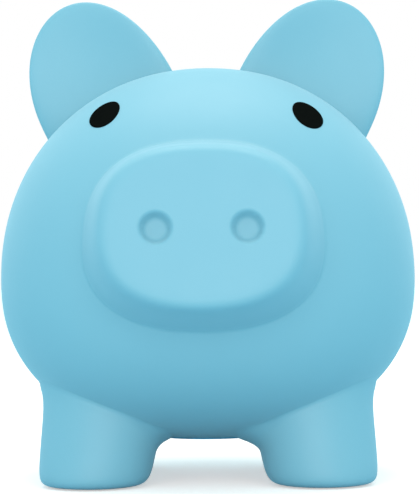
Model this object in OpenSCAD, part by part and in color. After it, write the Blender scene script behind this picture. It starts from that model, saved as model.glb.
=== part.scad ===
// Piggy bank: a hollow soft-vinyl pig with set-in ears, a curly tail, inlaid eyes,
// a coin slot along the back and a ribbed pull-out plug in the belly.
// Frame: +Z up, the pig looks along -Y, origin on the floor at the centre of its box.

/* [Barrel] */
// Widest width of the barrel
barrel_w = 124; // [118:1:130]
// Height of the barrel's back above its widest line
rise_up = 63.4; // [61:0.2:66]
// Depth of the belly below the widest line
drop_down = 47.4; // [46:0.2:49]
// Reach of the barrel in front of its widest section
reach_front = 62; // [59:1:65]
// Reach of the barrel behind its widest section
reach_rear = 67; // [64:1:70]
// Clear height of the belly above the floor
belly_gap = 12; // [11:0.2:13]
// Fullness of the barrel from nose to tail: 2 is an ellipse, more is squarer
fullness = 2.45; // [2.2:0.05:2.6]
// Fullness of the cross-section above the widest line
back_fullness = 2.1; // [2:0.05:2.3]
// Fullness of the cross-section below the widest line
belly_fullness = 2.25; // [2.1:0.05:2.4]
// Thickness of the vinyl
wall = 2.8; // [2.4:0.2:3.4]

/* [Snout] */
// Width of the snout's front face
snout_w = 57.2; // [52:0.2:60]
// Height of the snout's front face
snout_h = 46; // [42:1:48]
// Distance from the barrel's front to the snout's face
snout_reach = 12; // [10:0.5:15]
// Upward tilt of the snout
snout_tilt = 10; // [6:1:12]
// Flare of the snout's sides towards the barrel
snout_flare = 13.5; // [10:0.5:16]
// Height of the middle of the snout's face above the widest line
snout_rise = 15.2; // [14:0.2:17]
// Distance from the middle of the face to each nostril
nostril_x = 12.5; // [11:0.5:14]
// Radius of a nostril at its rim
nostril_r = 4.5; // [3.5:0.1:5]
// Depth of a nostril
nostril_depth = 2.2; // [1.5:0.1:3]

/* [Legs] */
// Radius of a foot's sole
sole_r = 16.4; // [15:0.2:17]
// Radius of a leg where it enters the barrel
thigh_r = 18.2; // [17.6:0.2:19]
// Distance from the middle plane to the middle of a front sole
sole_x = 33.4; // [31:0.2:34]
// How much further from the middle plane the hind soles stand
hind_spread = 1.6; // [0:0.2:2]
// Distance from the widest section to the middle of a sole
sole_y = 28; // [27:0.5:31]

/* [Ears] */
// Width of an ear at its root
ear_w = 43.8; // [40:0.2:45]
// Height of an ear above its root
ear_h = 32.4; // [30:0.2:35]
// Thickness of an ear near its rim
ear_t = 5; // [4:0.5:6]
// Hollow of the ear's front
ear_bow = 5; // [3:0.5:6]
// Outward lean of an ear
ear_lean = 26.5; // [24:0.5:30]

/* [Eyes] */
// Length of an eye
eye_l = 14.2; // [11:0.2:16]
// Width of an eye
eye_w = 9.6; // [8:0.2:11]
// Slant of an eye against the slope of the face
eye_slant = 45; // [30:1:55]

/* [Coin slot] */
// Length of the coin slot
slot_l = 38; // [34:1:42]
// Width of the coin slot
slot_w = 5; // [4.6:0.1:6]

/* [Plug] */
// Radius of the hole in the belly
hole_r = 14.5; // [13.5:0.5:15]
// Radius of the plug's rim
rim_r = 17; // [16.5:0.1:17.5]
// Play between the plug and its hole
plug_play = 0.06; // [0.04:0.01:0.1]

/* [Hidden] */

VINYL_BLUE = [0.55, 0.81, 0.90];
PRINT_BLACK = [0.03, 0.03, 0.03];
PLUG_BLUE = [0.42, 0.68, 0.80];

glue_gap = 0.05;                          // between pieces that are glued face to face
waist_z = belly_gap + drop_down;          // height of the widest line
segments = 48;                            // points round each ring of the outer skin
inner_segments = 32;                      // points round each ring of the hollow inside

// Superellipse helpers: power() keeps the sign of its argument.
function power(v, e) = sign(v) * pow(abs(v), e);
function squircle(angle, e) = [power(cos(angle), e), power(sin(angle), e)];

// The angle of point j of ring i: every other ring is turned by half a step.
function around_at(i, j, n) = 360 * (j + (i % 2) / 2) / n;

// A closed skin through such rings, with a flat cap on each end.
module loft(rings) {
    n = len(rings[0]);
    last = len(rings) - 1;
    points = [for (ring = rings) each ring];
    sides = [for (i = [0 : last - 1], j = [0 : n - 1])
        let (a = i * n + j, b = a + n, d = i * n + (j + 1) % n, c = d + n)
        each i % 2 == 0 ? [[a, b, d], [d, b, c]] : [[a, b, c], [a, c, d]]];
    caps = [[for (j = [0 : n - 1]) j], [for (j = [n - 1 : -1 : 0]) last * n + j]];
    polyhedron(points, concat(sides, caps), convexity = 6);
}

// Merges its children into one smooth skin at their own size.
module one_skin() {
    resize([0, 0, 0])
        children();
}

// ---------------------------------------------------------------- barrel
// The barrel is a superellipsoid with its own reach to each of its six sides.
// t runs from -90 at the front to 90 at the rear, u runs round from the pig's left.
function barrel_point(t, u, grow = 0) =
    let (e = 2 / fullness,
         round_part = power(cos(t), e),
         side = squircle(u, 2 / (sin(u) > 0 ? back_fullness : belly_fullness)),
         reach = t < 0 ? reach_front : reach_rear,
         tall = sin(u) > 0 ? rise_up : drop_down)
    [(barrel_w / 2 + grow) * round_part * side[0],
     (reach + grow) * power(sin(t), e),
     waist_z + (tall + grow) * round_part * side[1]];

// The outward direction at that point, from the superellipsoid's gradient.
function barrel_normal(t, u) =
    let (p = barrel_point(t, u),
         reach = t < 0 ? reach_front : reach_rear,
         tall = p[2] > waist_z ? rise_up : drop_down,
         n = p[2] > waist_z ? back_fullness : belly_fullness,
         x = 2 * p[0] / barrel_w,
         z = (p[2] - waist_z) / tall,
         ring = pow(pow(abs(x), n) + pow(abs(z), n), fullness / n - 1),
         slope = [ring * power(x, n - 1) * 2 / barrel_w,
                  power(p[1] / reach, fullness - 1) / reach,
                  ring * power(z, n - 1) / tall])
    slope / norm(slope);

module barrel(grow = 0, around = segments) {
    steps = 4 * round(around / 8);
    first = 7;
    loft([for (i = [0 : steps])
        let (t = 90 - first - (180 - 2 * first) * i / steps)
        [for (j = [0 : around - 1]) barrel_point(t, around_at(i, j, around), grow)]]);
}

// Puts children on the barrel's skin, with their +Z along its outward direction.
module on_barrel(t, u) {
    n = barrel_normal(t, u);
    translate(barrel_point(t, u))
        rotate([0, acos(n[2]), atan2(n[1], n[0])])
            children();
}

// ---------------------------------------------------------------- snout
snout_round = 4.5;                        // radius of the face's edge
snout_depth = 34;                         // from the face to the buried end
snout_fullness = 2.55;                    // squareness of the snout's outline
snout_centre = [0, -(reach_front + snout_reach), waist_z + snout_rise];

module at_snout() {
    translate(snout_centre)
        rotate([90 - snout_tilt, 0, 0])
            children();
}

// One ring of the snout: trim is cut off its outline, back is its distance behind the face.
function snout_ring(i, trim, back, around) =
    let (spread = back * tan(snout_flare) - trim)
    [for (j = [0 : around - 1])
        let (p = squircle(around_at(i, j, around), 2 / snout_fullness))
        [(snout_w / 2 + spread) * p[0], (snout_h / 2 + spread) * p[1], -back]];

module snout(inset = 0, around = segments) {
    steps = 4;
    at_snout()
        loft(concat([snout_ring(0, inset, snout_depth, around)],
                    [for (i = [0 : steps])
                        let (a = 90 * i / steps)
                        snout_ring(i + 1, inset + snout_round * (1 - cos(a)),
                                   inset + snout_round * (1 - sin(a)), around)]));
}

module nostrils() {
    at_snout()
        for (side = [-1, 1])
            translate([side * nostril_x, 0, -nostril_depth])
                cylinder(r1 = nostril_r - 1.1, r2 = nostril_r, h = nostril_depth + 0.01, $fn = 40);
}

// ---------------------------------------------------------------- legs
sole_round = 4.2;                         // radius of a sole's edge
thigh_z = 28;                             // height at which a leg starts to round over
thigh_x = sole_x - 3.8;
thigh_y = sole_y - 5;
hip_z = 38;                               // height of the leg's end inside the barrel
hip_r = 13;

// One leg, drawn for the pig's left rear corner. inset shrinks it for the hollow inside.
function leg_ring(i, z, inset, around, trim) =
    let (k = z / thigh_z,
         r = sole_r + (thigh_r - sole_r) * k - inset - trim,
         x = sole_x + (thigh_x - sole_x) * k,
         y = sole_y + (thigh_y - sole_y) * k)
    [for (j = [0 : around - 1])
        let (a = around_at(i, j, around))
        [x + r * cos(a), y + r * sin(a), z]];

module leg(inset = 0, around = 36) {
    steps = 4;
    loft(concat([for (i = [0 : steps])
                    let (a = 90 - 90 * i / steps)
                    leg_ring(i, inset + sole_round * (1 - sin(a)), inset, around,
                             sole_round * (1 - cos(a)))],
                [for (i = [1 : 5])
                    leg_ring(steps + i, thigh_z + (hip_z - thigh_z) * i / 5, inset, around,
                             (thigh_r - hip_r) * pow(i / 5, 2))]));
}

module legs(inset = 0, around = 36) {
    for (left = [0, 1], front = [0, 1])
        mirror([left, 0, 0])
            mirror([0, front, 0])
                translate([hind_spread * (1 - front), 0, 0])
                    leg(inset, around);
}

// ---------------------------------------------------------------- belly opening
seat_z = belly_gap + 2.5;                 // flat land that the plug's rim closes against
boss_top = seat_z + 4.3;                  // the vinyl is thicker round the hole
boss_r = hole_r + 4;

module belly_boss() {
    start = belly_gap + 2.2;
    translate([0, 0, start])
        cylinder(r = boss_r, h = boss_top - start, $fn = 72);
}

module belly_opening() {
    cylinder(r = hole_r, h = boss_top + 1, $fn = 96);
    cylinder(r = rim_r + 0.4, h = seat_z, $fn = 96);
}

// ---------------------------------------------------------------- coin slot
slot_mid_y = 24;                          // middle of the slot, behind the ears
slot_floor = waist_z + rise_up * 0.6;     // the cut starts below the thickness of the back

module coin_slot() {
    run = (slot_l - slot_w) / 2;
    translate([0, slot_mid_y, slot_floor]) {
        for (end = [-1, 1])
            translate([0, end * run, 0])
                cylinder(d = slot_w, h = rise_up, $fn = 40);
        translate([-slot_w / 2, -run, 0])
            cube([slot_w, 2 * run, rise_up]);
    }
}

// ---------------------------------------------------------------- ears
ear_root = [29.6, 1.5, waist_z + 53.9];   // middle of an ear's root, just behind the widest section
ear_turn = 8;                             // each ear opens outwards a little
ear_segments = 44;
tenon_w = 24;                             // tongue that goes through the wall
tenon_t = 5;
tenon_l = 12;

// The left ear in its own frame: +X outwards, +Z up the ear, its hollow towards -Y.
function ear_ring(i, v) =
    let (k = max(0, v) / ear_h,
         half = ear_w / 2 * sqrt(max(0, 1 - k * k)),
         thick = (ear_t / 2 + 1.6 * pow(1 - k, 2)) * pow(min(1, half / 7), 0.5),
         dish = ear_bow * sin(min(90, 25 + 90 * k)))
    [for (j = [0 : ear_segments - 1])
        let (a = around_at(i, j, ear_segments),
             x = half * power(cos(a), 0.9),
             y = thick * power(sin(a), 0.9))
        [x, y - dish * pow(2 * x / ear_w, 2) + dish * 0.4, v]];

module ear_blade() {
    rings = 20;
    loft([for (i = [0 : rings])
        ear_ring(i, i == 0 ? -9 : ear_h * sin(88 * i / rings))]);
}

module at_ear() {
    translate(ear_root)
        rotate([0, ear_lean, 0])
            rotate([0, 0, ear_turn])
                children();
}

module ear_tenon(play = 0) {
    at_ear()
        translate([-tenon_w / 2 - play, -tenon_t / 2 - play, -tenon_l])
            cube([tenon_w + 2 * play, tenon_t + 2 * play, tenon_l + 4]);
}

module ear() {
    color(VINYL_BLUE)
        one_skin() {
            difference() {
                at_ear() ear_blade();
                barrel(glue_gap);
            }
            ear_tenon();
        }
}

// ---------------------------------------------------------------- eyes
eye_t = -31.6;                            // place of the left eye on the barrel
eye_u = 58.9;
eye_sink = 0.4;                           // depth of the eye's recess
eye_proud = 0.15;                         // how far the eye stands out of the skin

module eye_prism(play = 0) {
    on_barrel(eye_t, eye_u)
        rotate([0, 0, -eye_slant])
            translate([0, 0, -3])
                scale([eye_l / 2 + play, eye_w / 2 + play, 1])
                    cylinder(r = 1, h = 6, $fn = 64);
}

module eye_recess() {
    difference() {
        eye_prism(glue_gap);
        barrel(-eye_sink);
    }
}

module eye() {
    color(PRINT_BLACK) one_skin()
        difference() {
            intersection() {
                eye_prism();
                barrel(eye_proud);
            }
            barrel(glue_gap - eye_sink);
        }
}

// ---------------------------------------------------------------- tail
tail_z = waist_z + 18;                    // height of the tail's peg
tail_start = reach_rear - 2;              // the tail starts just under the skin
tail_thick = 2.8;                         // radius at the root
tail_tip = 1.9;                           // radius at the tip
tail_l = 38;                              // length along the curl
tail_lead = 7;                            // length in which the tail turns aside
tail_aside = 80.5;                         // angle it turns aside by
curl_start = -5;                          // direction in which it turns aside
curl_r = 5.3;
tail_rings = 50;
peg_r = 2.1;
peg_l = 11;

// The tail leaves the body straight, turns aside and then winds round; l is its length so far.
function tail_bend(l) = let (k = min(1, l / tail_lead)) tail_aside * k * k * (3 - 2 * k);
function tail_wind(l) = curl_start + max(0, l - 2) / curl_r * 180 / PI;
function tail_along(l) =
    let (p = tail_bend(l), a = tail_wind(l))
    [sin(p) * cos(a), cos(p), sin(p) * sin(a)];

tail_step = tail_l / tail_rings;
tail_path = [for (i = 0, at = [0, tail_start, tail_z]; i <= tail_rings;
    at = at + tail_step * tail_along((i + 0.5) * tail_step), i = i + 1) at];

function tail_ring(i, l, at, r) =
    let (p = tail_bend(l),
         a = tail_wind(l),
         e1 = [cos(p) * cos(a), -sin(p), cos(p) * sin(a)],
         e2 = [sin(a), 0, -cos(a)])
    [for (j = [0 : 15])
        let (b = around_at(i, j, 16))
        at + r * cos(b) * e1 + r * sin(b) * e2];

module tail() {
    tip = tail_path[tail_rings];
    color(VINYL_BLUE)
        one_skin() {
            difference() {
                loft(concat([for (i = [0 : tail_rings])
                                tail_ring(i, i * tail_step, tail_path[i],
                                          tail_thick + (tail_tip - tail_thick) * i / tail_rings)],
                            [for (i = [1, 2])
                                tail_ring(tail_rings + i, tail_l,
                                          tip + tail_tip * sin(30 * i) * tail_along(tail_l),
                                          tail_tip * cos(30 * i))]));
                barrel(glue_gap);
            }
            translate([0, reach_rear - 0.6, tail_z])
                rotate([90, 0, 0])
                    cylinder(r = peg_r, h = peg_l, $fn = 40);
        }
}

module tail_socket() {
    translate([0, reach_rear, tail_z])
        rotate([90, 0, 0])
            cylinder(r = peg_r + glue_gap, h = 12, $fn = 40);
}

// ---------------------------------------------------------------- plug
plug_rim_t = 2.2;                         // thickness of the plug's rim
plug_neck_l = 5;                          // length of the neck above the rim
plug_wall = 1.9;
plug_lead = 0.8;                          // chamfer that helps the neck into the hole
grip_w = 4;                               // bar across the plug's open side
grip_depth = plug_rim_t + plug_neck_l - plug_wall;

module belly_plug() {
    neck_r = hole_r - plug_play;
    top = plug_rim_t + plug_neck_l;
    well_r = neck_r - plug_wall;
    color(PLUG_BLUE)
        translate([0, 0, seat_z - plug_rim_t]) {
            rotate_extrude($fn = 96)
                polygon([[0, grip_depth], [well_r, grip_depth], [well_r + 0.6, 0],
                         [rim_r - 0.6, 0], [rim_r, 0.6], [rim_r, plug_rim_t],
                         [neck_r, plug_rim_t], [neck_r, top - plug_lead],
                         [neck_r - plug_lead, top], [0, top]]);
            translate([-grip_w / 2, -well_r - 0.3, 0.6])
                cube([grip_w, 2 * well_r + 0.6, grip_depth]);
        }
}

// ---------------------------------------------------------------- body
module body_skin() {
    barrel();
    snout();
    legs();
}

module body_hollow() {
    barrel(-wall, inner_segments);
    snout(wall, inner_segments);
    legs(wall, 24);
}

module body_shell() {
    color(VINYL_BLUE)
        one_skin()
            difference() {
                body_skin();
                difference() {
                    body_hollow();
                    belly_boss();
                }
                nostrils();
                belly_opening();
                coin_slot();
                tail_socket();
                for (side = [0, 1])
                    mirror([side, 0, 0]) {
                        ear_tenon(glue_gap);
                        eye_recess();
                    }
            }
}

body_shell();
ear();  // ear_left
mirror([1, 0, 0]) ear();  // ear_right
tail();
eye();  // eye_left
mirror([1, 0, 0]) eye();  // eye_right
belly_plug();
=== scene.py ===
# %% [markdown]
# # A piggy bank in soft blue vinyl
# This lesson dresses a measured model of a plump standing pig bank. The measured model
# gives every piece its place and size, and here each piece gets its real shape and finish.
# The pig looks along -Y, its back is up along +Z, and its own left side is at +X.
# All lengths are in metres, so a value in millimetres is multiplied by MM.

# %% Load the measured model
import math

import bmesh
import bpy
from mathutils import Matrix, Vector


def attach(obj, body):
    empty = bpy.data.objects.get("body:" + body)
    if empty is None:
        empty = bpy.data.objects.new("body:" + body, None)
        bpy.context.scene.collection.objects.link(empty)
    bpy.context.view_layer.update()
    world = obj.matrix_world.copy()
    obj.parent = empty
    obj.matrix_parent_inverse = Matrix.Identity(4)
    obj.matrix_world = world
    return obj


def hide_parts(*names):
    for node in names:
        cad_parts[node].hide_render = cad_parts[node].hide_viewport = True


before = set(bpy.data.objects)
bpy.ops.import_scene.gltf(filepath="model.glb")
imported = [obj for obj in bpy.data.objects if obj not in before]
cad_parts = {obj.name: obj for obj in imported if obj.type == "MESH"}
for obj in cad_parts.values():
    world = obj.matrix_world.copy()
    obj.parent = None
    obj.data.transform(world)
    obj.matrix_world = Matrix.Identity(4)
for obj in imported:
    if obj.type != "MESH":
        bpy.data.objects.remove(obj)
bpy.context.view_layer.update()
MM = 0.001


# %% [markdown]
# ## The camera
# The camera comes first, so that each piece can be judged from it while it is made. It
# stands level with the snout, a little to the pig's left, with a long lens that keeps the
# round body free of distortion. A roll of half a degree matches a pig that was set down
# a touch off level, and the lens shift only centres the frame.

# %% Camera
VIEW_TURN = math.radians(1.35)
VIEW_ROLL = math.radians(0.6)
VIEW_DISTANCE = 700 * MM
VIEW_HEIGHT = 70 * MM
FOCAL = 168.6

eye_lens = bpy.data.cameras.new("eye_lens")
eye_lens.sensor_fit = "VERTICAL"
eye_lens.sensor_height = 36
eye_lens.lens = FOCAL
eye_lens.shift_x = 0.003
eye_lens.shift_y = -0.006
eye_lens.clip_start = 0.02
camera = bpy.data.objects.new("camera", eye_lens)
bpy.context.scene.collection.objects.link(camera)
camera.location = (VIEW_DISTANCE * math.sin(VIEW_TURN), -VIEW_DISTANCE * math.cos(VIEW_TURN), VIEW_HEIGHT)
camera.rotation_euler = (math.radians(90), VIEW_ROLL, VIEW_TURN)
bpy.context.scene.camera = camera
print("camera at", [round(c, 3) for c in camera.location])

# %% [markdown]
# ## Small helpers for working by hand
# An operator acts on everything that is selected. So before each step the scene is
# deselected, one piece is made active, and its faces or edges are picked by where they
# are. These few helpers say that in one line each.

# %% Helpers for selecting
def only(piece):
    """Makes piece the one selected and active object, in object mode."""
    if bpy.context.object and bpy.context.object.mode != "OBJECT":
        bpy.ops.object.mode_set(mode="OBJECT")
    bpy.ops.object.select_all(action="DESELECT")
    piece.select_set(True)
    bpy.context.view_layer.objects.active = piece
    return piece


def edit(piece):
    """Opens piece in edit mode."""
    only(piece)
    bpy.ops.object.mode_set(mode="EDIT")


def close():
    """Goes back to object mode."""
    bpy.ops.object.mode_set(mode="OBJECT")


def pick(piece, kind, rule):
    """In edit mode, selects the VERT, EDGE or FACE elements that rule is true for."""
    bpy.ops.mesh.select_mode(type=kind)
    bpy.ops.mesh.select_all(action="DESELECT")
    work = bmesh.from_edit_mesh(piece.data)
    group = {"VERT": work.verts, "EDGE": work.edges, "FACE": work.faces}[kind]
    for element in group:
        if rule(element):
            element.select_set(True)
    work.select_flush_mode()
    bmesh.update_edit_mesh(piece.data)
    return sum(1 for element in group if element.select)


def chosen(piece):
    """The selected vertices of piece, in edit mode."""
    work = bmesh.from_edit_mesh(piece.data)
    return [v for v in work.verts if v.select]


def middle(element):
    """The middle of an edge or a face."""
    points = [v.co for v in element.verts]
    return sum(points, Vector()) / len(points)


# %% Helpers for modifiers and finished meshes
def modify(piece, kind, **settings):
    """Adds a modifier of that kind with those settings, and applies it."""
    only(piece)
    modifier = piece.modifiers.new(kind.lower(), kind)
    for name, value in settings.items():
        setattr(modifier, name, value)
    bpy.ops.object.modifier_apply(modifier=modifier.name)
    return piece


def round_off(piece, levels):
    """Applies Subdivision Surface at the same level for view and render."""
    return modify(piece, "SUBSURF", levels=levels, render_levels=levels)


def face_outwards(piece):
    """Merges doubles and turns every face outwards. It comes before a wall gets its thickness."""
    edit(piece)
    bpy.ops.mesh.select_all(action="SELECT")
    bpy.ops.mesh.remove_doubles(threshold=1e-6)
    bpy.ops.mesh.normals_make_consistent(inside=False)
    close()


def settle(piece, name, node, body_name):
    """Puts a finished piece's place in its mesh, names it, hangs it under its body and hides the measured
    part that it stands for.
    """
    only(piece)
    bpy.ops.object.transform_apply(location=True, rotation=True, scale=True)
    bpy.ops.object.shade_smooth()
    piece.name = piece.data.name = name
    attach(piece, body_name)
    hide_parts(node)
    work = bmesh.new()
    work.from_mesh(piece.data)
    open_edges = sum(1 for e in work.edges if len(e.link_faces) != 2)
    print(name, "faces", len(work.faces), "open edges", open_edges,
          "volume cm3", round(work.calc_volume(signed=True) * 1e6, 2))
    work.free()
    return piece


# %% [markdown]
# ## The barrel of the body
# The real body is one soft-vinyl moulding: liquid vinyl is turned in a hot metal mould
# until an even skin has set, and the skin is pulled out. So the body is one even wall
# with no hard edges outside, only soft swellings. A ball made from a cube has evenly
# sized four-sided faces and no pinched poles at the nose, which is where the snout must
# grow. So a cube is subdivided and pushed to a sphere. The mould's own form is a little
# squarer than a sphere, and fuller at the belly than along the back. The rule
# barrel_point says where each direction lands on it.

# %% The barrel's form
HALF_WIDTH = 62 * MM
RISE = 63.4 * MM
DROP = 47.4 * MM
REACH_FRONT = 62 * MM
REACH_REAR = 67 * MM
WAIST = 59.4 * MM
FULL_LENGTH = 2.45
FULL_BACK = 2.1
FULL_BELLY = 2.25


def barrel_point(direction):
    """Where a direction from a unit ball lands on the barrel's skin."""
    x, y, z = direction.normalized()
    across = math.hypot(x, z)
    full = FULL_BACK if z > 0 else FULL_BELLY
    tall = RISE if z > 0 else DROP
    reach = REACH_FRONT if y < 0 else REACH_REAR
    ring = across ** (2 / FULL_LENGTH)
    side = ring * abs(x / across) ** (2 / full) if across else 0
    up = ring * abs(z / across) ** (2 / full) if across else 0
    return Vector((math.copysign(HALF_WIDTH * side, x),
                   math.copysign(reach * abs(y) ** (2 / FULL_LENGTH), y),
                   WAIST + math.copysign(tall * up, z)))


def barrel_level(point):
    """1 on the barrel's skin, less inside it and more outside."""
    high = point.z > WAIST
    full = FULL_BACK if high else FULL_BELLY
    x = abs(point.x) / HALF_WIDTH
    y = abs(point.y) / (REACH_FRONT if point.y < 0 else REACH_REAR)
    z = abs(point.z - WAIST) / (RISE if high else DROP)
    ring = (x ** full + z ** full) ** (1 / full)
    return (ring ** FULL_LENGTH + y ** FULL_LENGTH) ** (1 / FULL_LENGTH)


def barrel_out(point):
    """The outward direction of the barrel's skin near a point."""
    d = 0.05 * MM
    return Vector([barrel_level(point + d * axis) - barrel_level(point - d * axis)
                   for axis in (Vector((1, 0, 0)), Vector((0, 1, 0)), Vector((0, 0, 1)))]).normalized()


def on_barrel(point):
    """The nearest place on the barrel's skin, by a few small steps along the outward direction."""
    for _ in range(3):
        slope = (barrel_level(point * 1.0 + barrel_out(point) * 0.1 * MM) - barrel_level(point)) / (0.1 * MM)
        point = point + barrel_out(point) * (1 - barrel_level(point)) / slope
    return point


def meet_skin(route, low, high):
    """Where a route, a rule from a number to a point, comes out through the barrel's skin."""
    for _ in range(40):
        half = (low + high) / 2
        if barrel_level(route(half)) < 1:
            low = half
        else:
            high = half
    return route(low)


# %% Cube to ball to barrel
def make_ball(cuts):
    """A ball of radius 1 with even four-sided faces, made from a cube."""
    bpy.ops.object.select_all(action="DESELECT")
    bpy.ops.mesh.primitive_cube_add(size=2)
    ball = bpy.context.object
    edit(ball)
    bpy.ops.mesh.subdivide(number_cuts=cuts)
    bpy.ops.mesh.select_all(action="SELECT")
    bpy.ops.transform.tosphere(value=1)
    close()
    for corner in ball.data.vertices:
        corner.co = corner.co.normalized()
    return ball


body = make_ball(11)
for corner in body.data.vertices:
    corner.co = barrel_point(corner.co)
print("barrel faces", len(body.data.polygons))

# %% [markdown]
# ## Drawing a patch onto an outline, and extruding it
# The legs, the snout, the nostrils, the coin slot and the belly opening all grow out of
# the same skin in the same way, as one would do it by hand. A patch of faces is picked,
# its rim is drawn onto an outline, and the patch is extruded. The rim is then drawn onto
# the next outline, and so on. After each move the corners inside the patch are relaxed,
# so that its faces stay even.

# %% Helpers for growing
def rim_of(work):
    """The rim of the selected patch: each of its corners with its two neighbours along it."""
    ends = {}
    for e in work.edges:
        if e.select and sum(f.select for f in e.link_faces) == 1:
            for v in e.verts:
                ends.setdefault(v, []).append(e.other_vert(v))
    return ends


def relax(corners, passes, hold=lambda spot: spot):
    """Moves each corner towards the middle of its neighbours, and then where hold says."""
    for _ in range(passes):
        for v in corners:
            around = [e.other_vert(v).co for e in v.link_edges]
            v.co = hold(v.co.lerp(sum(around, Vector()) / len(around), 0.5))


def draw_rim(piece, outline, passes=12, even=0):
    """Moves the rim of the selected patch by outline, a rule from a place to a new place.

    even says how often the rim's corners are then spread along it, so that they are even.
    """
    work = bmesh.from_edit_mesh(piece.data)
    rim = rim_of(work)
    for v in rim:
        v.co = outline(v.co)
    for _ in range(even):
        spread = {v: v.co * 0.5 + (ends[0].co + ends[1].co) * 0.25 for v, ends in rim.items()}
        for v, spot in spread.items():
            v.co = outline(spot)
    relax([v for v in work.verts if v.select and v not in rim], passes)
    bmesh.update_edit_mesh(piece.data)
    return len(rim)


def ease_round(piece, hold, rings=2, passes=12):
    """Relaxes the faces just outside the selected patch, on the surface that hold gives."""
    work = bmesh.from_edit_mesh(piece.data)
    inside = {v for v in work.verts if v.select}
    edge = set(inside)
    for _ in range(rings):
        edge |= {e.other_vert(v) for v in edge for e in v.link_edges}
    relax(sorted(edge - inside, key=lambda v: v.index), passes, hold)
    bmesh.update_edit_mesh(piece.data)


def grow_to(piece, outline, passes=12):
    """Extrudes the selected patch in place and draws its rim onto the next outline."""
    bpy.ops.mesh.extrude_region_move(TRANSFORM_OT_translate={"value": (0, 0, 0)})
    return draw_rim(piece, outline, passes)


# %% [markdown]
# ## The legs
# Each leg is a stubby hollow post that narrows towards the sole, whose edge is rounded.
# The legs stand apart at the soles and lean together towards the belly. The blend into
# the belly is widest on a leg's outer side and narrowest in front and behind, where the
# belly swells over the leg. The hind soles stand slightly wider apart than the front ones.

# %% The legs' form
SOLE_R = 16.4 * MM
THIGH_R = 18.2 * MM
THIGH_Z = 28 * MM
SOLE_X = {-1: 33.4 * MM, 1: 35.0 * MM}
SOLE_Y = 28 * MM
LEAN_X = 3.8 * MM
LEAN_Y = 8.5 * MM


def leg_ring(side, end, angle, z, spare=0.0):
    """A spot on a leg's skin at a height. end is -1 for a front leg, and spare widens the leg."""
    k = z / THIGH_Z
    r = SOLE_R + (THIGH_R - SOLE_R) * k + spare
    x = SOLE_X[end] - LEAN_X * k
    y = SOLE_Y - LEAN_Y * k
    return Vector((side * x + r * math.cos(angle), end * y + r * math.sin(angle), z))


def leg_middle(side, end, z):
    """The middle of a leg at a height."""
    return (leg_ring(side, end, 0, z) + leg_ring(side, end, math.pi, z)) / 2


def leg_angle(side, end, spot):
    """The angle of a place round its leg's middle."""
    within = leg_middle(side, end, spot.z)
    return math.atan2(spot.y - within.y, spot.x - within.x)


def leg_blend(side, angle):
    """How far the blend into the belly spreads: most on the leg's outer side, least in front."""
    out = side * math.cos(angle)
    return (1.0 + (3.4 if out > 0 else 2.0) * out * out) * MM


def grow_leg(piece, side, end):
    """Grows one leg out of the belly."""
    def beneath(face):
        spot = middle(face)
        within = leg_middle(side, end, spot.z)
        return spot.z < WAIST and math.hypot(spot.x - within.x, spot.y - within.y) < THIGH_R + 2.2 * MM

    def root(spot):
        angle = leg_angle(side, end, spot)
        return meet_skin(lambda z: leg_ring(side, end, angle, -z, leg_blend(side, angle)), -45 * MM, -4 * MM)

    def below_root(spot):
        angle = leg_angle(side, end, spot)
        return leg_ring(side, end, angle, spot.z - 1.25 * leg_blend(side, angle), 0.25 * MM)

    def ring(height, spare):
        def outline(spot):
            angle = leg_angle(side, end, spot)
            return leg_ring(side, end, angle, height(spot.z), spare)
        return outline

    count = pick(piece, "FACE", beneath)
    draw_rim(piece, root, even=30)
    ease_round(piece, on_barrel)
    grow_to(piece, below_root)
    grow_to(piece, ring(lambda z: 7.6 * MM + 0.5 * (z - 8 * MM), 0.1 * MM))
    grow_to(piece, ring(lambda z: 3.6 * MM, 0.1 * MM))
    grow_to(piece, ring(lambda z: 0.7 * MM, -1.1 * MM))
    grow_to(piece, ring(lambda z: 0, -4.4 * MM))
    grow_to(piece, ring(lambda z: 0, -8.5 * MM), 30)
    return count


# %% Growing the legs
edit(body)
for side in (1, -1):
    for end in (-1, 1):
        print("leg", side, end, "grew from faces", grow_leg(body, side, end))
close()

# %% [markdown]
# ## The snout
# The snout is a short blunt plug. Its flat face looks slightly upwards, its outline is a
# rounded oblong, its rim is softly rounded, and it widens towards the head, less below. It has its
# own small frame: u to the pig's left, v up the face, and back for the distance behind
# the face.

# %% The snout's form
SNOUT_TILT = math.radians(10)
SNOUT_MID = Vector((0, -74 * MM, 74.6 * MM))
SNOUT_UP = Vector((0, math.sin(SNOUT_TILT), math.cos(SNOUT_TILT)))
SNOUT_OUT = Vector((0, -math.cos(SNOUT_TILT), math.sin(SNOUT_TILT)))
SNOUT_HALF = (28.6 * MM, 23 * MM)
SNOUT_FLARE = math.tan(math.radians(13.5))
SNOUT_FULL = 2.55
FLARE_SIDE = 1.05
FLARE_BELOW = 0.7


def snout_place(u, v, back):
    return SNOUT_MID + Vector((u, 0, 0)) + v * SNOUT_UP - back * SNOUT_OUT


def snout_uvb(spot):
    """A place in the snout's own frame."""
    away = spot - SNOUT_MID
    return away.x, away.dot(SNOUT_UP), -away.dot(SNOUT_OUT)


def snout_ring(angle, back, spare=0.0):
    """A spot on the snout's side, at a depth behind its face. spare widens it."""
    c, s = math.cos(angle), math.sin(angle)
    grown = back * SNOUT_FLARE + spare
    flare_v = FLARE_BELOW if s < 0 else 1
    u = math.copysign((SNOUT_HALF[0] + FLARE_SIDE * grown) * abs(c) ** (2 / SNOUT_FULL), c)
    v = math.copysign((SNOUT_HALF[1] + flare_v * grown) * abs(s) ** (2 / SNOUT_FULL), s)
    return snout_place(u, v, back)


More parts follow.
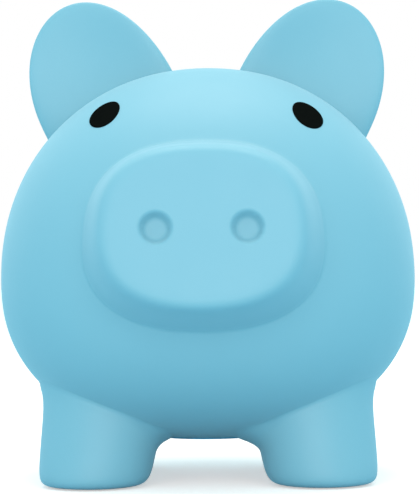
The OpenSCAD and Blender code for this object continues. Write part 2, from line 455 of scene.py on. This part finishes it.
def snout_angle(spot):
    """The angle that snout_ring needs to pass nearest to a place."""
    u, v, _ = snout_uvb(spot)
    c = abs(u / SNOUT_HALF[0]) ** (SNOUT_FULL / 2)
    s = abs(v / SNOUT_HALF[1]) ** (SNOUT_FULL / 2)
    return math.atan2(math.copysign(s, v), math.copysign(c, u))


def grow_snout(piece):
    """Grows the snout out of the front of the barrel."""
    def in_snout(face):
        u, v, back = snout_uvb(middle(face))
        reach = (abs(u) / (33.6 * MM)) ** SNOUT_FULL + (abs(v) / (28 * MM)) ** SNOUT_FULL
        return back < 40 * MM and reach < 1

    def root(spot):
        angle = snout_angle(spot)
        return meet_skin(lambda back: snout_ring(angle, -back, 1.8 * MM), -45 * MM, 0)

    def ring(depth, spare):
        def outline(spot):
            return snout_ring(snout_angle(spot), depth(snout_uvb(spot)[2]), spare)
        return outline

    count = pick(piece, "FACE", in_snout)
    draw_rim(piece, root, even=30)
    ease_round(piece, on_barrel)
    grow_to(piece, ring(lambda back: back - 2.2 * MM, 0.2 * MM))
    grow_to(piece, ring(lambda back: 5 * MM + 0.35 * (back - 5 * MM), 0.1 * MM))
    grow_to(piece, ring(lambda back: 3.2 * MM, 0.1 * MM))
    grow_to(piece, ring(lambda back: 0.5 * MM, -0.8 * MM))
    grow_to(piece, ring(lambda back: 0, -3.4 * MM))
    grow_to(piece, ring(lambda back: 0, -8.0 * MM), 40)
    return count


# %% Growing the snout
edit(body)
print("snout grew from faces", grow_snout(body))
close()
round_off(body, 2)
face_outwards(body)
front = min(v.co.y for v in body.data.vertices)
print("skin faces", len(body.data.polygons), "front at mm", round(front / MM, 2))

# %% [markdown]
# ## True to the mould
# Subdivision draws a round form in by a hair, so the parts of the skin that belong to the
# barrel are pushed back out onto it. The push fades out where a leg or the snout begins.

# %% Back onto the barrel
moved = 0
for v in body.data.vertices:
    gap = abs(barrel_level(v.co) - 1) * 60 * MM
    if gap < 1.0 * MM:
        strength = min(1.0, 2 * (1 - gap / (1.0 * MM)))
        v.co = v.co.lerp(on_barrel(v.co.copy()), strength)
        moved += 1
print("corners on the barrel", moved)

# %% [markdown]
# ## Openings and dents in the skin
# The coin slot, the belly opening and the nostrils are too fine for the skin's even
# faces. So the faces there are first subdivided, then a patch is drawn onto the exact
# outline. A nostril is pressed in. The slot and the opening lose their patch, and the
# wall's thickness will close their edges later.

# %% Nostrils
NOSTRIL_U = 12.5 * MM
NOSTRIL_R = 4.7 * MM


def press_nostril(piece, side):
    """Presses one nostril into the snout's face."""
    def away(spot):
        u, v, back = snout_uvb(spot)
        return math.hypot(u - side * NOSTRIL_U, v), back

    def outline(radius, depth):
        def rule(spot):
            u, v, _ = snout_uvb(spot)
            angle = math.atan2(v, u - side * NOSTRIL_U)
            return snout_place(side * NOSTRIL_U + radius * math.cos(angle), radius * math.sin(angle), depth)
        return rule

    def near(reach):
        return lambda face: away(middle(face))[0] < reach and away(middle(face))[1] < 1.5 * MM

    pick(piece, "FACE", near(7.5 * MM))
    bpy.ops.mesh.subdivide(number_cuts=1)
    count = pick(piece, "FACE", near(NOSTRIL_R))
    draw_rim(piece, outline(NOSTRIL_R + 0.45 * MM, 0.0), even=20)
    grow_to(piece, outline(NOSTRIL_R, 0.12 * MM))
    grow_to(piece, outline(NOSTRIL_R - 0.42 * MM, 0.60 * MM))
    grow_to(piece, outline(NOSTRIL_R - 0.85 * MM, 1.45 * MM))
    grow_to(piece, outline(NOSTRIL_R - 1.30 * MM, 2.30 * MM))
    grow_to(piece, outline(NOSTRIL_R - 1.75 * MM, 2.72 * MM))
    grow_to(piece, outline(NOSTRIL_R - 2.40 * MM, 2.80 * MM))
    grow_to(piece, outline(NOSTRIL_R - 3.10 * MM, 2.80 * MM), 200)
    return count


edit(body)
for side in (1, -1):
    print("nostril", side, "pressed into faces", press_nostril(body, side))
close()

# %% Coin slot
SLOT_MID_Y = 24 * MM
SLOT_RUN = 16.5 * MM
SLOT_R = 2.5 * MM


def slot_reach(spot):
    """How far a spot is from the slot's middle line, seen from above."""
    along = max(-SLOT_RUN, min(SLOT_RUN, spot.y - SLOT_MID_Y))
    return Vector((spot.x, spot.y - SLOT_MID_Y - along, 0)), along


def slot_outline(radius):
    def rule(spot):
        off, along = slot_reach(spot)
        flat = Vector((0, SLOT_MID_Y + along, 0)) + off.normalized() * radius
        return meet_skin(lambda z: Vector((flat.x, flat.y, z)), WAIST, 130 * MM)
    return rule


def near_slot(reach):
    return lambda face: middle(face).z > WAIST + 30 * MM and slot_reach(middle(face))[0].length < reach


edit(body)
pick(body, "FACE", near_slot(SLOT_R + 2.5 * MM))
bpy.ops.mesh.subdivide(number_cuts=1)
pick(body, "FACE", near_slot(SLOT_R + 1.2 * MM))
bpy.ops.mesh.subdivide(number_cuts=1)
close()
for v in body.data.vertices:
    if v.co.z > WAIST + 30 * MM and slot_reach(v.co)[0].length < SLOT_R + 8 * MM:
        v.co = on_barrel(v.co)
edit(body)
count = pick(body, "FACE", near_slot(SLOT_R + 0.15 * MM))
draw_rim(body, slot_outline(SLOT_R + 0.55 * MM), even=6)
ease_round(body, on_barrel, rings=4, passes=20)
grow_to(body, slot_outline(SLOT_R + 0.2 * MM))
for depth, radius in ((0.15, 0.05), (0.5, 0.0), (1.1, 0.0)):
    def inner_lip(spot):
        lip = slot_outline(SLOT_R + radius * MM)(spot)
        return lip - barrel_out(lip) * depth * MM
    grow_to(body, inner_lip)
bpy.ops.mesh.delete(type="FACE")
close()
print("coin slot opened through faces", count)

# %% Belly opening
HOLE_R = 14.5 * MM
LAND_R = 17.4 * MM
SEAT_Z = 14.5 * MM
NECK_TOP = 18.8 * MM


def belly_outline(radius, height=None):
    def rule(spot):
        angle = math.atan2(spot.y, spot.x)
        x, y = radius * math.cos(angle), radius * math.sin(angle)
        if height is None:
            return meet_skin(lambda down: Vector((x, y, -down)), -30 * MM, 0)
        return Vector((x, y, height))
    return rule


def near_belly(reach):
    return lambda face: middle(face).z < 20 * MM and middle(face).xy.length < reach


edit(body)
count = pick(body, "FACE", near_belly(LAND_R))
draw_rim(body, belly_outline(LAND_R + 0.6 * MM), even=20)
grow_to(body, belly_outline(LAND_R + 0.2 * MM))
grow_to(body, lambda spot: belly_outline(LAND_R)(spot) + Vector((0, 0, 0.25 * MM)))
grow_to(body, belly_outline(LAND_R, SEAT_Z - 0.25 * MM))
grow_to(body, belly_outline(LAND_R - 0.25 * MM, SEAT_Z))
grow_to(body, belly_outline(HOLE_R + 0.4 * MM, SEAT_Z))
grow_to(body, belly_outline(HOLE_R + 0.1 * MM, SEAT_Z + 0.12 * MM))
grow_to(body, belly_outline(HOLE_R, SEAT_Z + 0.4 * MM))
grow_to(body, belly_outline(HOLE_R, NECK_TOP))
bpy.ops.mesh.delete(type="FACE")
close()
print("belly opened through faces", count)

# %% [markdown]
# ## The wall
# The vinyl skin is 2.8 mm thick all over. Solidify gives the skin that wall on its inner
# side and closes the edges of the slot and of the belly opening, just as the mould
# leaves them. The faces already point outwards, so nothing is recalculated after this.

# %% Wall thickness
WALL = 2.8 * MM
modify(body, "SOLIDIFY", thickness=WALL, offset=-1, use_quality_normals=True)
settle(body, "pig_body", "body_shell", "pig")

# %% [markdown]
# ## The ears
# Each ear is a cupped half-oval of the same vinyl, with a rounded rim. Its root runs
# into the top of the head and leaves a fine crease all along, because it is moulded
# apart and set in. A ball flattened to a plate has the right rim. It is cut across near
# its middle, cupped towards the front, and leaned outwards.

# %% The ears' form
EAR_HALF = 21.9 * MM
EAR_TALL = 32.4 * MM
EAR_CUP = 5 * MM
EAR_ROOT = Vector((29.6, 1.5, 113.3)) * MM
EAR_LEAN = math.radians(26.5)
EAR_TURN = math.radians(8)
EAR_CUT = -0.28


def shape_ear(spot):
    """Takes a spot of a unit ball to the ear: x across, y through its thickness, z up."""
    up = max(0.0, spot.z)
    thick = (2.5 + 1.6 * (1 - up) ** 2) * MM
    narrowing = math.sqrt(1 - spot.z ** 2) if spot.z < 0 else 1
    x = EAR_HALF * spot.x / narrowing
    y = thick * math.copysign(abs(spot.y) ** 0.8, spot.y)
    cup = EAR_CUP * math.sin(min(math.pi / 2, math.radians(25 + 90 * up)))
    y += -cup * (x / EAR_HALF) ** 2 + 0.4 * cup
    return Vector((x, y, EAR_TALL * spot.z))


def make_ear(side, name, node):
    """Makes one ear. side is 1 for the pig's left and -1 for its right."""
    ear = make_ball(15)
    edit(ear)
    bpy.ops.mesh.select_all(action="SELECT")
    bpy.ops.mesh.bisect(plane_co=(0, 0, EAR_CUT), plane_no=(0, 0, 1), clear_inner=True, use_fill=True)
    close()
    place = (Matrix.Translation(EAR_ROOT) @ Matrix.Rotation(EAR_LEAN, 4, "Y")
             @ Matrix.Rotation(EAR_TURN, 4, "Z"))
    for v in ear.data.vertices:
        spot = place @ shape_ear(v.co)
        v.co = Vector((side * spot.x, spot.y, spot.z))
    face_outwards(ear)
    round_off(ear, 1)
    return settle(ear, name, node, "pig")


for side, name, node in ((1, "ear_of_left", "ear_left"), (-1, "ear_of_right", "ear_right")):
    make_ear(side, name, node)

# %% [markdown]
# ## The eyes
# The eyes are flat ovals of black ink, printed on the curved skin through a mask. Ink has
# almost no thickness, but an oval that lies exactly in the skin would flicker through
# it. So an oval sheet is laid on the skin 0.15 mm proud, and given a thin body. A mask
# never sits quite true, so EYE_SHIFT moves each eye a little from its mirrored place.

# %% Making the eyes
EYE_T = math.radians(-31.6)
EYE_U = math.radians(58.9)
EYE_LONG = 6.46 * MM
EYE_SHORT = 4.96 * MM
EYE_SLANT = math.radians(-37.8)
EYE_PROUD = 0.15
EYE_THICK = 0.45 * MM
EYE_SHIFT = {1: Vector((0.9, 0, -0.6)) * MM, -1: Vector((-0.4, 0, 0.4)) * MM}


def make_eye(side):
    """Lays one eye's oval sheet on the barrel, on the pig's left for side 1."""
    toward = Vector((math.cos(EYE_T) * math.cos(EYE_U), math.sin(EYE_T),
                     math.cos(EYE_T) * math.sin(EYE_U)))
    spot = on_barrel(barrel_point(toward) + EYE_SHIFT[side])
    out = barrel_out(spot)
    turn = (Matrix.Rotation(math.atan2(out.y, out.x), 4, "Z") @ Matrix.Rotation(math.acos(out.z), 4, "Y")
            @ Matrix.Rotation(EYE_SLANT, 4, "Z"))
    bpy.ops.object.select_all(action="DESELECT")
    bpy.ops.mesh.primitive_circle_add(vertices=64, radius=1, fill_type="NGON")
    eye = bpy.context.object
    edit(eye)
    bpy.ops.mesh.select_all(action="SELECT")
    for _ in range(7):
        bpy.ops.mesh.inset(thickness=0.13)
    close()
    for v in eye.data.vertices:
        flat = turn @ Vector((v.co.x * EYE_LONG, v.co.y * EYE_SHORT, 0))
        laid = on_barrel(spot + flat)
        laid = laid + barrel_out(laid) * EYE_PROUD * MM
        v.co = Vector((side * laid.x, laid.y, laid.z))
    return eye


# %% Finishing the eyes
def finish_eye(eye, side, name, node):
    """Gives an eye's sheet its body. A mirrored sheet faces inwards, so it is flipped first."""
    edit(eye)
    bpy.ops.mesh.select_all(action="SELECT")
    if side < 0:
        bpy.ops.mesh.flip_normals()
    close()
    modify(eye, "SOLIDIFY", thickness=EYE_THICK, offset=-1)
    return settle(eye, name, node, "pig")


for side, name, node in ((1, "eye_of_left", "eye_left"), (-1, "eye_of_right", "eye_right")):
    finish_eye(make_eye(side), side, name, node)

# %% [markdown]
# ## The tail
# The tail is a short pigtail: it leaves the body straight, turns aside and winds once
# round. A tube along a curve is the plain way, with a radius that shrinks to a rounded
# tip. The curve's points follow the same rule as the measured model's tail.

# %% The tail's route
TAIL_ROOT = Vector((0, 65, 77.4)) * MM
TAIL_LONG = 38
TAIL_STEPS = 76
TAIL_LEAD = 7
TAIL_ASIDE = 80.5
CURL_START = -5
CURL_R = 5.3


def tail_along(so_far):
    """The tail's direction, so many millimetres along it."""
    k = min(1, so_far / TAIL_LEAD)
    aside = math.radians(TAIL_ASIDE) * k * k * (3 - 2 * k)
    wind = math.radians(CURL_START) + max(0, so_far - 2) / CURL_R
    return Vector((math.sin(aside) * math.cos(wind), math.cos(aside), math.sin(aside) * math.sin(wind)))


def tail_route():
    """Places and radii along the tail, from inside the wall to the rounded tip."""
    at = TAIL_ROOT.copy()
    step = TAIL_LONG / TAIL_STEPS
    route = [(at - Vector((0, 1.6 * MM, 0)), 2.8 * MM)]
    for i in range(TAIL_STEPS + 1):
        route.append((at.copy(), (2.8 - 0.9 * i / TAIL_STEPS) * MM))
        at = at + step * MM * tail_along((i + 0.5) * step)
    tip, r = route.pop()
    for turn in (0, 20, 40, 58, 74, 84):
        a = math.radians(turn)
        route.append((tip + tail_along(TAIL_LONG) * r * math.sin(a), r * math.cos(a)))
    return route


# %% Making the tail
path = bpy.data.curves.new("tail_path", "CURVE")
path.dimensions = "3D"
path.bevel_depth = 1.0
path.bevel_resolution = 6
path.use_fill_caps = True
path.twist_mode = "MINIMUM"
line = path.splines.new("POLY")
route = tail_route()
line.points.add(len(route) - 1)
for point, (place, radius) in zip(line.points, route):
    point.co = (*place, 1)
    point.radius = radius
tail = bpy.data.objects.new("tail_path", path)
bpy.context.scene.collection.objects.link(tail)
only(tail)
bpy.ops.object.convert(target="MESH")
tail = bpy.context.object
face_outwards(tail)
settle(tail, "tail_curl", "tail", "pig")

# %% [markdown]
# ## The belly plug
# The stopper is turned soft vinyl: a rim that closes against the land, a short neck that
# grips the hole, and two finger wells with a bar between them to pull it by. A turned
# piece is made by spinning its profile. The bar is a bevelled block that is joined on.

# %% Turning the plug
PLUG_Z = 12.3 * MM
PROFILE = ((0, 5.3), (11.9, 5.3), (12.45, 5.1), (12.6, 4.7), (13.05, 0.5), (13.35, 0.1), (13.7, 0.0),
           (16.3, 0.0), (16.75, 0.15), (17.0, 0.6), (17.0, 1.8), (16.85, 2.12), (16.6, 2.2), (14.7, 2.2),
           (14.5, 2.28), (14.44, 2.5), (14.44, 6.2), (14.3, 6.7), (13.9, 7.1), (13.4, 7.2), (0, 7.2))

bpy.ops.object.select_all(action="DESELECT")
bpy.ops.mesh.primitive_circle_add(vertices=len(PROFILE), radius=0.01, fill_type="NOTHING")
plug = bpy.context.object
for v, (r, z) in zip(plug.data.vertices, PROFILE):
    v.co = (r * MM, 0, PLUG_Z + z * MM)
edit(plug)
pick(plug, "EDGE", lambda e: all(v.co.x < 1e-9 for v in e.verts))
bpy.ops.mesh.delete(type="EDGE")
bpy.ops.mesh.select_all(action="SELECT")
bpy.ops.mesh.spin(steps=96, angle=math.radians(360), center=(0, 0, 0), axis=(0, 0, 1), use_auto_merge=False)
close()
face_outwards(plug)
print("plug turned, faces", len(plug.data.polygons))

# %% The plug's grip bar
bpy.ops.object.select_all(action="DESELECT")
bpy.ops.mesh.primitive_cube_add(size=1, location=(0, 0, PLUG_Z + 3.2 * MM))
bar = bpy.context.object
bar.scale = (4 * MM, 25.4 * MM, 5.2 * MM)
bpy.ops.object.transform_apply(location=True, rotation=True, scale=True)
modify(bar, "BEVEL", width=0.7 * MM, segments=3)
only(plug)
modify(plug, "BOOLEAN", operation="UNION", solver="EXACT", object=bar)
bpy.data.objects.remove(bar)
settle(plug, "belly_stopper", "belly_plug", "plug")
modify(plug, "TRIANGULATE")
only(plug)
bpy.ops.object.shade_smooth_by_angle(angle=math.radians(38))

# %% [markdown]
# ## Soft vinyl
# Soft vinyl is a matte, slightly waxy plastic. Its colour goes a little way into it, so
# its shadows stay coloured; no scattering is set here, and the coloured shadows come from
# the cyan room light and floor. Its skin copies the mould, which leaves a very fine grain,
# and broad soft light shows on it as a wide satin sheen. The pigment is never mixed
# perfectly, so the colour drifts by a few parts in a hundred over centimetres.

# %% A helper for finishes
def finish(name):
    """A new node material and the means to add and link its nodes."""
    material = bpy.data.materials.new(name)
    material.use_nodes = True
    tree = material.node_tree
    shader = tree.nodes["Principled BSDF"]

    def node(kind, **settings):
        made = tree.nodes.new(kind)
        for key, value in settings.items():
            if hasattr(made, key):
                setattr(made, key, value)
            else:
                made.inputs[key].default_value = value
        return made

    return material, tree, shader, node


def vinyl(name, light, deep, rough, grain):
    """Soft vinyl between two near shades, with a mould's grain."""
    material, tree, shader, node = finish(name)
    link = tree.links.new
    place = node("ShaderNodeTexCoord")
    cloud = node("ShaderNodeTexNoise", Scale=34.0, Detail=3.0, Roughness=0.55)
    link(place.outputs["Object"], cloud.inputs["Vector"])
    shades = node("ShaderNodeMix", data_type="RGBA")
    shades.inputs[6].default_value = (*deep, 1)
    shades.inputs[7].default_value = (*light, 1)
    link(cloud.outputs["Fac"], shades.inputs["Factor"])
    link(shades.outputs[2], shader.inputs["Base Color"])
    pores = node("ShaderNodeTexNoise", Scale=1500.0, Detail=2.0, Roughness=0.6)
    link(place.outputs["Object"], pores.inputs["Vector"])
    ripple = node("ShaderNodeTexNoise", Scale=120.0, Detail=2.0, Roughness=0.5)
    link(place.outputs["Object"], ripple.inputs["Vector"])
    spread = node("ShaderNodeMapRange")
    spread.inputs["To Min"].default_value = rough - 0.05
    spread.inputs["To Max"].default_value = rough + 0.05
    link(ripple.outputs["Fac"], spread.inputs["Value"])
    link(spread.outputs["Result"], shader.inputs["Roughness"])
    fine = node("ShaderNodeBump", Strength=grain, Distance=0.00008)
    link(pores.outputs["Fac"], fine.inputs["Height"])
    soft = node("ShaderNodeBump", Strength=grain, Distance=0.0002)
    link(ripple.outputs["Fac"], soft.inputs["Height"])
    link(fine.outputs["Normal"], soft.inputs["Normal"])
    link(soft.outputs["Normal"], shader.inputs["Normal"])
    shader.inputs["Sheen Weight"].default_value = 0.25
    shader.inputs["Sheen Roughness"].default_value = 0.5
    shader.inputs["Specular IOR Level"].default_value = 0.45
    return material


# %% The finishes
BODY_LIGHT = (0.240, 0.438, 0.505)
BODY_DEEP = (0.222, 0.418, 0.488)
PLUG_LIGHT = (0.115, 0.430, 0.620)
PLUG_DEEP = (0.100, 0.400, 0.590)
skin_finish = vinyl("soft_blue_vinyl", BODY_LIGHT, BODY_DEEP, 0.50, 0.22)
plug_finish = vinyl("stopper_vinyl", PLUG_LIGHT, PLUG_DEEP, 0.42, 0.15)

ink, tree, shader, node = finish("black_ink")
place = node("ShaderNodeTexCoord")
screen = node("ShaderNodeTexNoise", Scale=900.0, Detail=3.0)
tree.links.new(place.outputs["Object"], screen.inputs["Vector"])
depth = node("ShaderNodeMix", data_type="RGBA")
depth.inputs[6].default_value = (0.0035, 0.0035, 0.003, 1)
depth.inputs[7].default_value = (0.006, 0.006, 0.005, 1)
tree.links.new(screen.outputs["Fac"], depth.inputs["Factor"])
tree.links.new(depth.outputs[2], shader.inputs["Base Color"])
thin = node("ShaderNodeBump", Strength=0.15, Distance=0.00004)
tree.links.new(screen.outputs["Fac"], thin.inputs["Height"])
tree.links.new(thin.outputs["Normal"], shader.inputs["Normal"])
shader.inputs["Roughness"].default_value = 0.75
shader.inputs["Specular IOR Level"].default_value = 0.02
shader.inputs["IOR"].default_value = 1.06

for material, names in ((skin_finish, ("pig_body", "ear_of_left", "ear_of_right", "tail_curl")),
                        (plug_finish, ("belly_stopper",)),
                        (ink, ("eye_of_left", "eye_of_right"))):
    for name in names:
        worn = bpy.data.objects[name].data.materials
        worn.clear()
        worn.append(material)
print("finishes", [m.name for m in (skin_finish, plug_finish, ink)])

# %% [markdown]
# ## Floor and light
# The pig stands on a wide floor, under one large soft light overhead and a larger one in
# front. This light is tinted and not neutral: the room is cyan and both lamps are warm,
# and the vinyl's base colour was chosen under it. The camera sees a white room and a
# whiter floor than the one that throws light back onto the pig. The floor is only seen
# from above, so that the underside can be looked at from below.

# %% Floor
bpy.ops.object.select_all(action="DESELECT")
bpy.ops.mesh.primitive_plane_add(size=6, location=(0, 0, -0.0002))
floor = bpy.context.object
floor.name = "studio_floor"
paper, tree, shader, node = finish("white_paper")
shader.inputs["Roughness"].default_value = 0.9
seen = node("ShaderNodeLightPath")
tone = node("ShaderNodeMix", data_type="RGBA")
tone.inputs[6].default_value = (0.36, 0.64, 0.74, 1)
tone.inputs[7].default_value = (0.93, 0.66, 0.58, 1)
tree.links.new(seen.outputs["Is Camera Ray"], tone.inputs["Factor"])
tree.links.new(tone.outputs[2], shader.inputs["Base Color"])
glow = node("ShaderNodeMath", operation="MULTIPLY")
glow.inputs[1].default_value = 0.5
tree.links.new(seen.outputs["Is Camera Ray"], glow.inputs[0])
tree.links.new(glow.outputs[0], shader.inputs["Emission Strength"])
shader.inputs["Emission Color"].default_value = (1, 1, 1, 1)
back_side = node("ShaderNodeNewGeometry")
clear = node("ShaderNodeBsdfTransparent")
both = node("ShaderNodeMixShader")
tree.links.new(back_side.outputs["Backfacing"], both.inputs["Fac"])
tree.links.new(shader.outputs["BSDF"], both.inputs[1])
tree.links.new(clear.outputs["BSDF"], both.inputs[2])
tree.links.new(both.outputs["Shader"], tree.nodes["Material Output"].inputs["Surface"])
floor.data.materials.append(paper)

# %% Light
def soft_light(name, place, aim, size, power, tint):
    """A round area light at a place, turned towards aim."""
    lamp = bpy.data.lights.new(name, "AREA")
    lamp.shape = "DISK"
    lamp.size = size
    lamp.energy = power
    lamp.color = tint
    holder = bpy.data.objects.new(name, lamp)
    bpy.context.scene.collection.objects.link(holder)
    holder.location = place
    holder.rotation_euler = (Vector(aim) - Vector(place)).to_track_quat("-Z", "Y").to_euler()
    return holder


soft_light("overhead", (0.0, 0.10, 0.95), (0, 0, 0.08), 0.8, 3.8, (1.0, 0.82, 0.70))
soft_light("front_fill", (0.0, -1.3, 0.42), (0, 0, 0.07), 1.3, 10.0, (1.0, 0.82, 0.72))

# %% Room
room = bpy.data.worlds.new("white_room")
bpy.context.scene.world = room
room.use_nodes = True
tree = room.node_tree
air = tree.nodes["Background"]
wall = tree.nodes.new("ShaderNodeBackground")
seen = tree.nodes.new("ShaderNodeLightPath")
either = tree.nodes.new("ShaderNodeMixShader")
air.inputs["Color"].default_value = (0.44, 0.86, 1.0, 1)
air.inputs["Strength"].default_value = 1.22
wall.inputs["Color"].default_value = (1, 1, 1, 1)
wall.inputs["Strength"].default_value = 1.0
tree.links.new(seen.outputs["Is Camera Ray"], either.inputs["Fac"])
tree.links.new(air.outputs["Background"], either.inputs[1])
tree.links.new(wall.outputs["Background"], either.inputs[2])
tree.links.new(either.outputs["Shader"], tree.nodes["World Output"].inputs["Surface"])
bpy.context.scene.view_settings.view_transform = "Standard"
